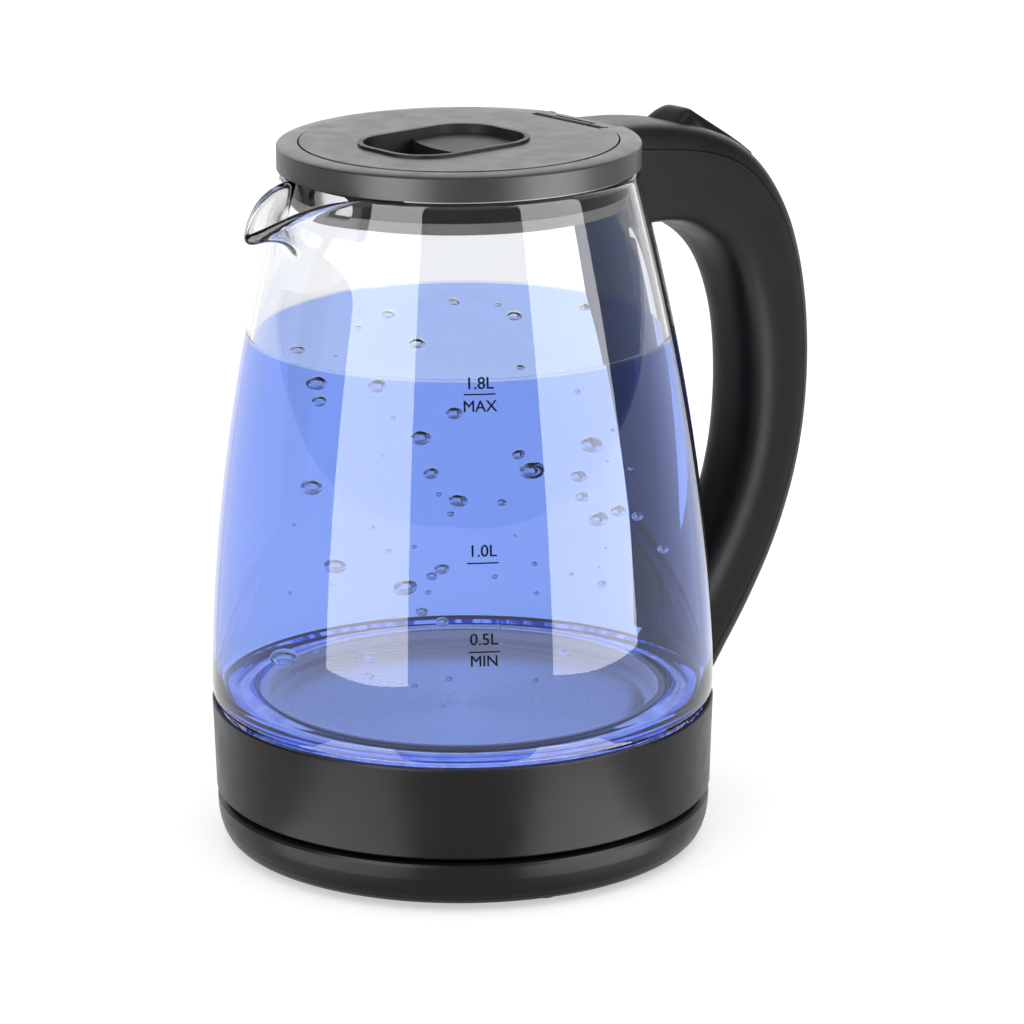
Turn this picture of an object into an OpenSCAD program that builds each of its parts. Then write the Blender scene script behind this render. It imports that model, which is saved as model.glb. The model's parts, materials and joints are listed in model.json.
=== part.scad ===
// Cordless glass kettle with a hinged lid, a handle with a rocker switch, and a round power base.
// Frame: origin on the jug's axis at the plane of the feet, +Z up, +X towards the handle.
// The pouring lip points along -X. All lengths are in millimetres.

/* [Jug] */
// Outer radius of the glass and of the collar where they meet
jug_r = 80; // [79:0.25:81]
// How much narrower the jug is at its neck than at the collar
jug_taper = 23.6; // [23:0.1:24.2]
// Thickness of the glass wall
glass_t = 2.8; // [2.4:0.1:3]
// Height of the glass rim above the worktop
rim_z = 217.3; // [217:0.1:217.5]
// How far the pouring lip reaches out from the neck
lip_reach = 26; // [20:1:28]
// How far the pouring lip dips below the rim
lip_dip = 11.3; // [8:0.5:12]

/* [Collar and base] */
// Height of the collar's top edge
collar_top = 47; // [46.9:0.05:47.1]
// Height of the collar's bottom edge
collar_bottom = 17.8; // [17.6:0.1:18.2]
// Height of the power base's top face
base_top = 16.2; // [15.8:0.1:16.2]
// Widest radius of the power base
base_r = 78.8; // [78:0.2:80]
// Angle of the cord's outlet about the jug's axis, in degrees
base_turn = 27; // [0:1:90]

/* [Heating plate] */
// Inner radius of the steel dish at the bottom of the jug
plate_r = 61.2; // [60.6:0.1:61.3]
// Number of light-emitting diodes under the clear ring
led_count = 16; // [8:2:24]

/* [Lid] */
// Radius of the moving lid disc
lid_r = 49.6; // [49.2:0.1:49.7]
// Distance from the axis to the lid's straight hinge edge
lid_chord = 43; // [42.8:0.1:43.1]
// Outer radius of the fixed ring around the lid
ring_r = 56.7; // [56.2:0.1:57.5]
// Length of the finger pocket along X
pocket_l = 49; // [44:1:50]
// Width of the finger pocket along Y
pocket_w = 36; // [32:1:38]

/* [Handle] */
// Wall thickness of the handle's two shells
handle_t = 2.6; // [2:0.1:2.8]
// Width of the seam between the two shells
seam = 0.3; // [0.2:0.05:0.5]
// Half width of the rocker switch
rocker_w = 7.5; // [6:0.5:7.5]

/* [Hidden] */
$fn = 96;
eps = 0.01;

// ---- Jug: an outline that turns about the axis, with a lip pulled out of its rim ----
taper_power = 1.86;
taper_height = 166;
neck_r = 55.8;
lip_half_angle = 22;
lip_soft = 3.5;
lip_start_z = 186;
lip_bead = 0.9;
plate_gap = 1.8;
flange_in = plate_r + plate_gap;
flange_bottom = collar_top - 3;
flange_top = flange_bottom + 4.2;

function glass_r(z) =
  max(neck_r, jug_r - jug_taper * pow(max(z - collar_top, 0) / taper_height, taper_power));
function cusp(a) =
  let(edge = norm([lip_half_angle, lip_soft]))
  max(0, (edge - norm([a, lip_soft])) / (edge - lip_soft));
function lip_out(a) = pow(cusp(a), 1.15);
lip_z = rim_z - glass_t / 2;
function lip_rise(z) = max(0, (z - lip_start_z) / (lip_z - lip_start_z));
function jug_point(a, z) =
  let(
    u = lip_rise(z),
    r = glass_r(z) + lip_reach * lip_out(a) * pow(u, 2.2),
    h = z - lip_dip * pow(cusp(a), 2.6) * pow(u, 3)
  )
  [-r * cos(a), r * sin(a), h];
function unit(v) = v / norm(v);
function jug_up(a, z) = unit(jug_point(a, z + 0.2) - jug_point(a, z - 0.2));
function jug_normal(a, z) =
  unit(cross(jug_up(a, z), unit(jug_point(a + 0.5, z) - jug_point(a - 0.5, z))));
function jug_wall(a, z) = glass_t + lip_bead * lip_out(a) * pow(lip_rise(z), 4);
function turned(a, rz) = [-rz.x * cos(a), rz.x * sin(a), rz.y];

jug_rows = [58, 74, 92, 112, 132, 152, 170, 186, 192, 197.5, 202.5, 207, 210.5, 213.5, lip_z];
heel = [
  [flange_in + 0.6, flange_bottom],
  [jug_r - 3.6, flange_bottom],
  [jug_r - 2.8, flange_bottom + 0.8],
  [jug_r - 2.7, collar_top - 0.4],
  [jug_r - 1.7, collar_top + 0.6],
  [jug_r - 0.7, collar_top + 1.4],
  [jug_r - 0.15, collar_top + 3.2]
];
foot_inside = [
  [jug_r - 3.7, flange_top + 3],
  [jug_r - 6, flange_top + 0.8],
  [jug_r - 10, flange_top + 0.2],
  [flange_in + 0.6, flange_top],
  [flange_in, flange_top - 0.6],
  [flange_in, flange_bottom + 0.6]
];
lip_step = 2;
lip_zone = 26;
body_step = 7;
jug_angles = concat(
  [for (a = [-lip_zone:lip_step:lip_zone]) a],
  [for (a = [lip_zone + body_step:body_step:360 - lip_zone - body_step]) a]
);

function jug_section(a) =
  let(
    top_out = jug_point(a, lip_z),
    n = jug_normal(a, lip_z),
    up = jug_up(a, lip_z),
    half = jug_wall(a, lip_z) / 2
  )
  concat(
    [for (p = heel) turned(a, p)],
    [for (z = jug_rows) jug_point(a, z)],
    [for (t = [45:45:135]) top_out + half * ((cos(t) - 1) * n + sin(t) * up)],
    [
      for (i = [len(jug_rows) - 1:-1:0])
        let(z = jug_rows[i]) jug_point(a, z) - jug_wall(a, z) * jug_normal(a, z)
    ],
    [for (p = foot_inside) turned(a, p)]
  );

// Closed grid of points: sections[i] is a closed loop and the sections themselves form a loop.
module ring_of_sections(sections) {
  m = len(sections);
  n = len(sections[0]);
  points = [for (s = sections) for (p = s) p];
  faces = [
    for (i = [0:m - 1]) for (j = [0:n - 1])
      let(a = i * n + j, b = i * n + (j + 1) % n, c = ((i + 1) % m) * n + j,
          d = ((i + 1) % m) * n + (j + 1) % n)
      each [[a, d, b], [a, c, d]]
  ];
  polyhedron(points, faces);
}

module glass_jug() {
  color([0.85, 0.92, 0.95, 0.4]) ring_of_sections([for (a = jug_angles) jug_section(a)]);
}

// ---- Small shared shapes ----
module tube(r_out, r_in, z0, z1) {
  translate([0, 0, z0]) difference() {
    cylinder(r = r_out, h = z1 - z0);
    translate([0, 0, -1]) cylinder(r = r_in, h = z1 - z0 + 2);
  }
}
module rod(r, z0, z1) {
  translate([0, 0, z0]) cylinder(r = r, h = z1 - z0);
}
module screw(shank_r, head_r, head_h, shank_h) {
  cylinder(r = head_r, h = head_h, $fn = 32);
  translate([0, 0, head_h - eps]) cylinder(r = shank_r, h = shank_h + eps, $fn = 32);
}
// A cylinder along Y, centred on the XZ plane.
module cross_rod(r, half_y, x, z) {
  translate([x, half_y, z]) rotate([90, 0, 0]) cylinder(r = r, h = 2 * half_y, $fn = 48);
}
// Points of an arc about c, from angle a0 to a1 in n steps, without its last point.
function arc(c, r, a0, a1, n) = [
  for (i = [0:n - 1]) let(a = a0 + (a1 - a0) * i / n) [c.x + r * cos(a), c.y + r * sin(a)]
];
// A slab that is a disc with a straight edge at x = chord and rounded corners.
module chord_disc(r, chord, corner, z0, z1) {
  cx = chord - corner;
  cy = sqrt(pow(r - corner, 2) - pow(cx, 2));
  ta = atan2(cy, cx);
  translate([0, 0, z0]) linear_extrude(z1 - z0) polygon(concat(
    arc([0, 0], r, ta, 360 - ta, 110),
    arc([cx, -cy], corner, -ta, 0, 8),
    arc([cx, cy], corner, 0, ta, 8)
  ));
}
// A slab with the plan of a rectangle with rounded corners, centred at x.
module rounded_slab(length, width, corner, x, z0, z1) {
  dx = length / 2 - corner;
  dy = width / 2 - corner;
  translate([x, 0, z0]) linear_extrude(z1 - z0) polygon([
    for (k = [0:3])
      each arc([[dx, dy], [-dx, dy], [-dx, -dy], [dx, -dy]][k], corner, 90 * k, 90 * k + 89.9, 12)
  ]);
}

// ---- Power base ----
base_wall = 2.2;
base_bottom_z = 2;
base_bottom_r = base_r - 4.8;
hub_r = 17.5;
hub_top = base_top + 7.3;
foot_circle = 66;
foot_r = 4.4;
gland_bore = 3;
gland_z = 8;
gland_length = 12;
contact_radii = [14.1, 9.3];
channel_in = 34;
channel_out = 55;
channel_roof = 11;

// The bowl-shaped side of the base, from its bottom edge to its top edge, drawn in by inset.
function base_side(inset) = [
  for (t = [0:15:90])
    [base_bottom_r + (base_r - base_bottom_r) * sin(t) - inset,
     base_bottom_z + (base_top - 2.4 - base_bottom_z) * (1 - cos(t))]
];

module base_shell() {
  color([0.07, 0.07, 0.07]) difference() {
    union() {
      base_skin();
      base_spots() translate([0, 0, base_bottom_z + 9.2]) cylinder(r = 3.2, h = base_top - base_wall - 11);
    }
    base_spots() cylinder(r = 1.55, h = base_top - 1, $fn = 32);
    rotate(base_turn) translate([base_r - 12, 0, gland_z]) rotate([0, 90, 0])
      cylinder(r = gland_bore + 1.9, h = 20);
  }
}
// Places of the three screws that close the base.
module base_spots() {
  rotate(base_turn) for (k = [0:2]) rotate(60 + 120 * k) translate([channel_in - 6, 0, 0]) children();
}
module base_skin() {
  rotate_extrude() polygon(concat(
    [[hub_r + 0.4, base_top]],
    [[base_r - 1.6, base_top], [base_r - 0.5, base_top - 0.5], [base_r, base_top - 1.4]],
    [for (i = [6:-1:0]) base_side(0)[i]],
    [for (i = [0:5]) base_side(base_wall)[i]],
    [[base_r - base_wall - 0.6, base_top - base_wall], [hub_r + 0.4, base_top - base_wall]]
  ));
}

module base_bottom() {
  color([0.09, 0.09, 0.09]) difference() {
    union() {
      rotate_extrude() polygon([
        [0, base_bottom_z], [channel_in, base_bottom_z], [channel_in, channel_roof],
        [channel_out, channel_roof], [channel_out, base_bottom_z], [base_bottom_r - 2.6, base_bottom_z],
        [base_bottom_r - 2.6, base_bottom_z + 2], [channel_out + 1.6, base_bottom_z + 2],
        [channel_out + 1.6, channel_roof + 1.4], [channel_in - 1.6, channel_roof + 1.4],
        [channel_in - 1.6, base_bottom_z + 1.6], [0, base_bottom_z + 1.6]
      ]);
      base_spots() translate([0, 0, base_bottom_z]) cylinder(r = 3.4, h = 9);
    }
    rotate(base_turn) for (k = [0:3]) rotate(45 + 90 * k)
      translate([foot_circle, 0, base_bottom_z - 1]) cylinder(r = foot_r + 0.1, h = 2.2);
    tube(pad_out + 0.1, pad_in - 0.1, base_bottom_z - 1, base_bottom_z + 0.65);
    base_spots() {
      cylinder(r = 1.6, h = 20, $fn = 32);
      cylinder(r = 2.9, h = base_bottom_z + 5, $fn = 32);
    }
    rotate(base_turn) translate([channel_out - 3, -gland_bore - 1.4, base_bottom_z - 1])
      cube([30, 2 * gland_bore + 2.8, 20]);
    rotate(base_turn) translate([channel_in - 4, -gland_bore, base_bottom_z + 3])
      cube([8, 2 * gland_bore, 4]);
  }
}

// Four feet near the rim, and a ring pad round the middle that steadies the base under the hub.
pad_out = 21;
pad_in = 18;
module base_feet() {
  color([0.05, 0.05, 0.05]) {
    rotate(base_turn) for (k = [0:3]) rotate(45 + 90 * k) translate([foot_circle, 0, 0]) {
      cylinder(r1 = foot_r - 0.6, r2 = foot_r, h = 0.8);
      translate([0, 0, 0.8 - eps]) cylinder(r = foot_r, h = 2.3);
    }
    tube(pad_out, pad_in, 0, base_bottom_z + 0.6);
  }
}

module base_connector() {
  color([0.08, 0.08, 0.08]) difference() {
    union() {
      rod(hub_r, base_bottom_z + 3, hub_top);
      rod(hub_r + 5, base_top - base_wall - 2.4, base_top - base_wall - 0.2);
    }
    for (r = contact_radii) tube(r + 0.6, r - 2.2, base_bottom_z + 10, hub_top + 1);
    rod(3.6, base_bottom_z + 10, hub_top + 1);
    lead_spots() cylinder(r = 1.1, h = base_bottom_z + 11, $fn = 32);
  }
}

module base_contacts() {
  color([0.85, 0.7, 0.3]) {
    for (r = contact_radii) tube(r + 0.5, r, base_bottom_z + 10.2, hub_top - 3);
    tube(3.5, 2.9, base_bottom_z + 10.2, hub_top - 3);
  }
}

module base_screws() {
  color([0.75, 0.75, 0.77]) base_spots() translate([0, 0, base_bottom_z + 3.2]) screw(1.5, 2.7, 1.6, 6);
}

module cord_gland() {
  color([0.06, 0.06, 0.06]) rotate(base_turn)
    translate([base_r - gland_length + 0.4, 0, gland_z]) rotate([0, 90, 0]) difference() {
      union() {
        cylinder(r = gland_bore + 1.7, h = gland_length);
        cylinder(r = gland_bore + 2.9, h = 2);
      }
      translate([0, 0, -1]) cylinder(r = gland_bore, h = gland_length + 2);
    }
}

module cord_clamp() {
  color([0.1, 0.1, 0.1]) rotate(base_turn) difference() {
    translate([channel_in - 16, -8, base_bottom_z + 1.8]) cube([6, 16, 3.2]);
    translate([channel_in - 17, 0, base_bottom_z + 6.2]) rotate([0, 90, 0]) cylinder(r = 3, h = 8);
    for (side = [-1, 1]) translate([channel_in - 13, side * 5.6, 0]) cylinder(r = 1.1, h = 20, $fn = 32);
  }
}

// Places of the leads under the two ring contacts and the centre contact.
module lead_spots() {
  for (k = [0:2]) rotate(90 + base_turn + 120 * k)
    translate([concat(contact_radii, [3.2])[k], 0, 0]) children();
}
module base_wires() {
  color([0.55, 0.3, 0.15]) lead_spots() translate([0, 0, base_bottom_z + 1.8])
    cylinder(r = 0.9, h = 8.2, $fn = 32);
}

// ---- Contact plug under the kettle ----
module kettle_plug() {
  color([0.12, 0.12, 0.12]) difference() {
    union() {
      rod(hub_r - 1, hub_top + 0.7, hub_top + 3.6);
      rod(7.6, hub_top + 3.6 - eps, hub_top + 8.5);
    }
    for (r = contact_radii) tube(r - 0.75, r - 1.45, hub_top + 0.6, hub_top + 2.8);
    rod(2.2, hub_top + 0.6, hub_top + 2.8);
  }
}
module plug_contacts() {
  color([0.85, 0.7, 0.3]) {
    for (r = contact_radii) tube(r - 0.8, r - 1.4, base_bottom_z + 11.5, hub_top + 2.6);
    rod(2.1, base_bottom_z + 11.5, hub_top + 2.6);
  }
}

// ---- Collar and what it holds ----
collar_wall = 2.4;
collar_inner = jug_r - 0.4 - collar_wall;
well_r = hub_r + 1.3;
well_top = hub_top + 5.2;
boss_circle = jug_r - 7.5;
board_z = flange_bottom - 7.8;
light_in = flange_in + 0.6;
light_out = jug_r - 3.6;

module collar() {
  r_low = jug_r - 0.9;
  boss_length = board_z - collar_bottom - 2.8;
  color([0.06, 0.06, 0.06]) {
    difference() {
      rotate_extrude() polygon([
        [r_low - 0.6, collar_bottom], [r_low, collar_bottom + 0.6],
        [jug_r, collar_top - 0.5], [jug_r - 0.4, collar_top], [jug_r - 1, collar_top - 0.1],
        [jug_r - collar_wall, collar_top - 1.4], [r_low - collar_wall, collar_bottom]
      ]);
      handle_screw_spots() rotate([0, 90, 0]) cylinder(r = 1.7, h = 10, $fn = 32);
    }
    for (k = [0:5]) rotate(30 + 60 * k) difference() {
      union() {
        translate([boss_circle, 0, collar_bottom + 2.6]) cylinder(r = 3.2, h = boss_length);
        translate([boss_circle, -1, collar_bottom + 2.6]) cube([5.6, 2, boss_length]);
      }
      translate([boss_circle, 0, collar_bottom]) cylinder(r = 1.3, h = 12, $fn = 32);
    }
  }
}

module kettle_bottom() {
  r_out = jug_r - 0.9 - collar_wall - 0.4;
  color([0.08, 0.08, 0.08]) difference() {
    union() {
      tube(r_out, well_r, collar_bottom, collar_bottom + 2.2);
      tube(well_r + 1.6, well_r, collar_bottom, well_top);
      tube(58, 56, base_top + 0.3, collar_bottom + eps);
    }
    for (k = [0:5]) rotate(30 + 60 * k) translate([boss_circle, 0, collar_bottom - 1]) {
      cylinder(r = 1.6, h = 10, $fn = 32);
      cylinder(r = 2.9, h = 2, $fn = 32);
    }
  }
}

module bottom_screws() {
  color([0.75, 0.75, 0.77]) for (k = [0:5]) rotate(30 + 60 * k)
    translate([boss_circle, 0, collar_bottom - 0.4]) screw(1.25, 2.6, 1.3, 7);
}

module light_ring() {
  color([0.75, 0.85, 1, 0.6]) tube(light_out, light_in, board_z + 3.6, flange_bottom - 0.3);
}
module led_board() {
  color([0.1, 0.35, 0.2]) tube(light_out, light_in, board_z, board_z + 1.2);
}
module leds() {
  color([0.3, 0.45, 1]) for (k = [0:led_count - 1]) rotate(360 / led_count * (k + 0.5))
    translate([light_out - 5, -1.5, board_z + 1.25]) cube([2.4, 3, 2]);
}

plate_rim = flange_top + 0.9;
plate_floor = flange_bottom - 0.6;
module heating_plate() {
  color([0.8, 0.8, 0.82]) rotate_extrude() polygon([
    [0, plate_floor], [plate_r - 4, plate_floor], [plate_r - 1.6, plate_floor + 1],
    [plate_r - 0.8, plate_floor + 2.6], [plate_r - 0.8, plate_rim - 0.5], [plate_r, plate_rim],
    [plate_r + 2, plate_rim], [plate_r + 2, plate_rim - 0.6], [plate_r, plate_rim - 0.7],
    [plate_r, plate_floor + 2.2], [plate_r - 1, plate_floor + 0.4], [plate_r - 3.6, plate_floor - 0.8],
    [0, plate_floor - 0.8]
  ]);
}
module plate_seal() {
  color([0.9, 0.9, 0.88]) {
    tube(flange_in - 0.25, plate_r + 0.1, flange_bottom + 0.3, flange_top + 0.1);
  }
}
module heat_spreader() {
  color([0.7, 0.7, 0.72]) rod(50, plate_floor - 3.9, plate_floor - 0.9);
}
element_r = 40;
module heating_element() {
  color([0.5, 0.5, 0.5]) {
    rotate(20) rotate_extrude(angle = 320) translate([element_r, plate_floor - 7.6])
      circle(r = 3.6, $fn = 48);
    for (a = [20, 340]) rotate(a) translate([element_r, 0, plate_floor - 17])
      cylinder(r = 1.8, h = 9.4, $fn = 32);
  }
}
control_z = well_top + 0.6;
control_top = plate_floor - 4.6;
module thermostat() {
  color([0.93, 0.9, 0.82]) difference() {
    translate([-25, -17, control_z]) cube([50, 34, control_top - control_z]);
    rod(8.2, control_z - 1, hub_top + 9.4);
    for (side = [-1, 1]) translate([side * 13, 0, control_top - 0.8]) cylinder(r = 10, h = 2);
  }
}
module bimetal_discs() {
  color([0.72, 0.7, 0.62]) for (side = [-1, 1])
    translate([side * 13, 0, control_top - 0.7]) cylinder(r = 9.5, h = 0.9);
}

// ---- Handle: two shells swept between an outer and an inner edge line ----
// Each station holds the outer edge point, the inner edge point, half the width, the squareness of
// the section and the seam's place as a share of the depth.
STATIONS = [
  [57.5, 224.3, 65.6, 190.5, 16, 5, 0.215],
  [72, 223.2, 77, 190, 16, 5, 0.24],
  [86, 220.9, 86, 188.2, 16, 4.8, 0.24],
  [99, 217.2, 93.5, 184.4, 16, 4.4, 0.225],
  [111.5, 211.2, 100.3, 179.6, 15.6, 4, 0.22],
  [123, 201.4, 105.8, 173.4, 15, 3.6, 0.217],
  [132.4, 188.3, 109.6, 166.4, 14.6, 3.3, 0.21],
  [138.6, 174, 112.6, 157.4, 14.2, 3.1, 0.21],
  [142.4, 158, 114.7, 147.4, 14, 3, 0.22],
  [143.9, 140, 115.9, 136, 14, 3, 0.225],
  [143.2, 121.5, 115.9, 122, 14, 3, 0.23],
  [140.6, 104.5, 114.2, 108.4, 13.8, 3, 0.25],
  [135.9, 88.5, 110.6, 95.6, 13.5, 3, 0.27],
  [128.8, 72.2, 104.8, 83, 13.1, 3, 0.28],
  [119.6, 56.6, 97.8, 71, 12.6, 3, 0.29],
  [108.8, 41.8, 91.2, 60.6, 12.2, 3, 0.3],
  [96.6, 28, 86, 52, 11.8, 3.2, 0.31],
  [80.5, 20.2, 80.5, 44, 11.5, 3.6, 0.31]
];
NOSE = [51.3, 225, 51.3, 190.2, 16, 5, 0.215];
rings_per_span = 2;

function spline(p0, p1, p2, p3, t) =
  0.5 * ((2 * p1) + (p2 - p0) * t + (2 * p0 - 5 * p1 + 4 * p2 - p3) * t * t
         + (3 * p1 - p0 - 3 * p2 + p3) * t * t * t);
function smooth_stations(s) =
  let(last = len(s) - 1)
  concat(
    [
      for (i = [0:last - 1]) for (k = [0:rings_per_span - 1])
        spline(s[max(i - 1, 0)], s[i], s[i + 1], s[min(i + 2, last)], k / rings_per_span)
    ],
    [s[last]]
  );

// Points on a rounded-square arc from angle a0 to a1, in the section's own Y and depth axes.
function square_arc(w, h, power, a0, a1, n) = [
  for (i = [0:n])
    let(a = a0 + (a1 - a0) * i / n)
    [w * sign(cos(a)) * pow(abs(cos(a)), 2 / power), h * sign(sin(a)) * pow(abs(sin(a)), 2 / power)]
];
function level_angle(level, h, power) =
  sign(level) * asin(min(1, pow(min(1, abs(level) / h), power / 2)));

// One shell's section: upper is true for the cover, false for the grip. The wall is handle_t thick.
function shell_section(st, upper, grow) =
  let(
    o = [st[0], st[1]],
    i = [st[2], st[3]],
    n = unit(o - i),
    c = (o + i) / 2,
    h = norm(o - i) / 2,
    w = st[4],
    power = st[5],
    level = h * (1 - 2 * st[6]) + (upper ? seam / 2 : -seam / 2),
    oa = level_angle(level, h, power),
    ia = level_angle(level, h - handle_t, power),
    steps = upper ? 10 : 16,
    outside = upper ? square_arc(w, h, power, oa, 180 - oa, steps)
                    : square_arc(w, h, power, oa, -180 - oa, steps),
    inside = upper ? square_arc(w - handle_t, h - handle_t, power, 180 - ia, ia, steps)
                   : square_arc(w - handle_t, h - handle_t, power, -180 - ia, ia, steps)
  )
  [for (p = concat(outside, inside)) [c.x + p.y * n.x, p.x, c.y + p.y * n.y]];

// Closed solid through a row of equal sections, each one half outside wall and half inside wall.
module shell_sweep(sections, flip) {
  m = len(sections);
  n = len(sections[0]);
  half = n / 2;
  points = [for (s = sections) for (p = s) p];
  sides = [
    for (i = [0:m - 2]) for (j = [0:n - 1])
      let(a = i * n + j, b = i * n + (j + 1) % n, c = a + n, d = b + n)
      each [[a, b, d], [a, d, c]]
  ];
  ends = [
    for (e = [0, m - 1]) for (j = [0:half - 2])
      let(a = e * n + j, b = a + 1, c = e * n + n - 2 - j, d = c + 1)
      each e == 0 ? [[a, d, c], [a, c, b]] : [[a, c, d], [a, b, c]]
  ];
  faces = concat(sides, ends);
  polyhedron(points, flip ? [for (f = faces) [f[0], f[2], f[1]]] : faces);
}

// Side outline of the rocker: a ramp up to a rounded peak, then a long slope to the rear.
ROCKER = [
  [85, 217.4], [85, 220.9], [88, 222.8], [91, 224.1], [93, 224.2], [96, 222.4], [104.4, 217.2],
  [109.5, 213.9], [114, 210.7], [118, 207.4], [118, 203.4], [112, 206.6], [106, 210.2], [94, 216.4]
];
rocker_x = 101;
rocker_z = 208.6;
lever_x = 81;
lever_z = 203;
pin_r = 1.2;
slot_gap = 0.4;

module handle_cover() {
  color([0.06, 0.06, 0.06]) difference() {
    shell_sweep([for (s = smooth_stations(concat([NOSE], STATIONS))) shell_section(s, true)], true);
    translate([ROCKER[0][0] - slot_gap, -rocker_w - slot_gap, 195])
      cube([33 + 2 * slot_gap, 2 * (rocker_w + slot_gap), 40]);
  }
}
module handle_grip() {
  color([0.06, 0.06, 0.06]) difference() {
    union() {
      shell_sweep([for (s = smooth_stations(STATIONS)) shell_section(s, false)], false);
      translate([jug_r + 0.8, -8.5, 29]) cube([7, 17, 13]);
    }
    handle_screw_spots() rotate([0, 90, 0]) cylinder(r = 1.45, h = 30, $fn = 32);
  }
}
// Places of the two screws that hold the handle's tail to the collar, pointing outwards.
module handle_screw_spots() {
  for (side = [-1, 1]) translate([collar_inner - 2.3, side * 5, 32]) children();
}

// Trunk up the back of the jug behind the handle, following the glass and narrower towards its foot.
strip_bottom = 50.5;
strip_top = 217;
strip_gap = 0.35;
strip_half_top = 13.4;
strip_half_foot = 7.6;
// Height and depth of the trunk down its length: thin where the handle crosses it, deep between.
STRIP_DEPTH = [
  [strip_top, 2.6], [202, 2.6], [189, 2.6], [187.8, 6.6], [168, 8.2], [146, 9.4], [118, 10], [86, 10],
  [68, 8.6], [58, 4.6], [52.5, 2.6], [strip_bottom, 2.4]
];
module back_strip() {
  color([0.05, 0.05, 0.05]) difference() {
    intersection() {
      translate([0, strip_half_top + 1, 0]) rotate([90, 0, 0]) linear_extrude(2 * strip_half_top + 2)
        polygon(concat(
          [[48, strip_top]], [for (p = STRIP_DEPTH) [glass_r(p[0]) + p[1], p[0]]], [[70, strip_bottom]]
        ));
      translate([40, 0, 0]) rotate([90, 0, 90]) linear_extrude(60) polygon([
        [-strip_half_top, strip_top + 1], [-strip_half_top, 165],
        [-strip_half_foot, 90], [-strip_half_foot, 40],
        [strip_half_foot, 40], [strip_half_foot, 90],
        [strip_half_top, 165], [strip_half_top, strip_top + 1]
      ]);
    }
    rotate_extrude() polygon(concat(
      [[0, rim_z + 5], [glass_r(rim_z) + strip_gap, rim_z + 5]],
      [for (z = [strip_top:-8:strip_bottom - 7]) [glass_r(z) + strip_gap, z]],
      [[glass_r(collar_top) + strip_gap, strip_bottom - 9], [0, strip_bottom - 9]]
    ));
  }
}
module handle_screws() {
  color([0.75, 0.75, 0.77]) handle_screw_spots() rotate([0, 90, 0]) screw(1.4, 2.8, 1.5, 9);
}

module handle_wires() {
  color([0.6, 0.2, 0.15]) for (y = [-3, 3])
    translate([0, y, 0]) wire_run([for (s = smooth_stations([for (i = [5:15]) STATIONS[i]]))
      [(s[0] + s[2]) / 2, (s[1] + s[3]) / 2]], 1.1);
}
// A round wire in a plane of constant Y, through a row of XZ points.
module wire_run(path, r) {
  m = len(path);
  sides = 8;
  sections = [
    for (i = [0:m - 1])
      let(t = unit(path[min(i + 1, m - 1)] - path[max(i - 1, 0)]), n = [t.y, -t.x])
      [for (k = [0:sides - 1]) let(a = 360 * k / sides)
        [path[i].x + r * cos(a) * n.x, r * sin(a), path[i].y + r * cos(a) * n.y]]
  ];
  points = [for (s = sections) for (p = s) p];
  faces = concat(
    [for (i = [0:m - 2]) for (j = [0:sides - 1])
      let(a = i * sides + j, b = i * sides + (j + 1) % sides)
      each [[a, b + sides, b], [a, a + sides, b + sides]]],
    [[for (j = [0:sides - 1]) j]],
    [[for (j = [sides - 1:-1:0]) (m - 1) * sides + j]]
  );
  polyhedron(points, faces);
}

// ---- Steam switch and rocker ----
module steam_switch() {
  side_plate = [[75.4, 194], [75.4, 209], [78, 211], [97, 212], [104, 211], [106, 206], [106, 194]];
  color([0.9, 0.88, 0.8]) difference() {
    union() {
      for (side = [-1, 1]) translate([0, side * 9.2 + 1, 0]) rotate([90, 0, 0])
        linear_extrude(2) polygon(side_plate);
      translate([75.4, -10.2, 194]) cube([30.6, 20.4, 1.8]);
      translate([75.4, -6, 193]) cube([4, 12, 1.2]);
    }
    cross_rod(pin_r + 0.03, 14, rocker_x, rocker_z);
    cross_rod(pin_r + 0.03, 14, lever_x, lever_z);
  }
}
module steam_disc() {
  color([0.72, 0.7, 0.62]) translate([76.2, 0, 204]) rotate([0, 90, 0]) cylinder(r = 8, h = 0.6);
}
module steam_tube() {
  color([0.85, 0.85, 0.82]) translate([45, 0, steam_z]) rotate([0, 90, 0]) difference() {
    cylinder(r = 1.8, h = 11, $fn = 48);
    translate([0, 0, -1]) cylinder(r = 1.1, h = 13, $fn = 48);
  }
}
module switch_pins() {
  color([0.75, 0.75, 0.77]) {
    cross_rod(pin_r, 10.4, rocker_x, rocker_z);
    cross_rod(pin_r, 10.4, lever_x, lever_z);
  }
}
module power_switch() {
  color([0.07, 0.07, 0.07]) difference() {
    union() {
      translate([0, rocker_w, 0]) rotate([90, 0, 0]) linear_extrude(2 * rocker_w) polygon(ROCKER);
      cross_rod(3.2, 6, rocker_x, rocker_z);
      translate([rocker_x - 2, -6, rocker_z]) cube([4, 12, 6]);
      translate([91.6, -3, 199.6]) cube([2.2, 6, 18]);
      translate([88.6, -3, 199.6]) cube([4, 6, 1.6]);
    }
    cross_rod(pin_r + 0.06, 10, rocker_x, rocker_z);
  }
}
module trip_lever() {
  color([0.85, 0.83, 0.75]) difference() {
    union() {
      cross_rod(2.6, 4, lever_x, lever_z);
      translate([lever_x, -4, lever_z - 1.4]) cube([9.2, 8, 2.2]);
      translate([lever_x - 3.6, -2, lever_z - 4.6]) cube([3, 4, 5]);
    }
    cross_rod(pin_r + 0.06, 10, lever_x, lever_z);
  }
}

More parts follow.
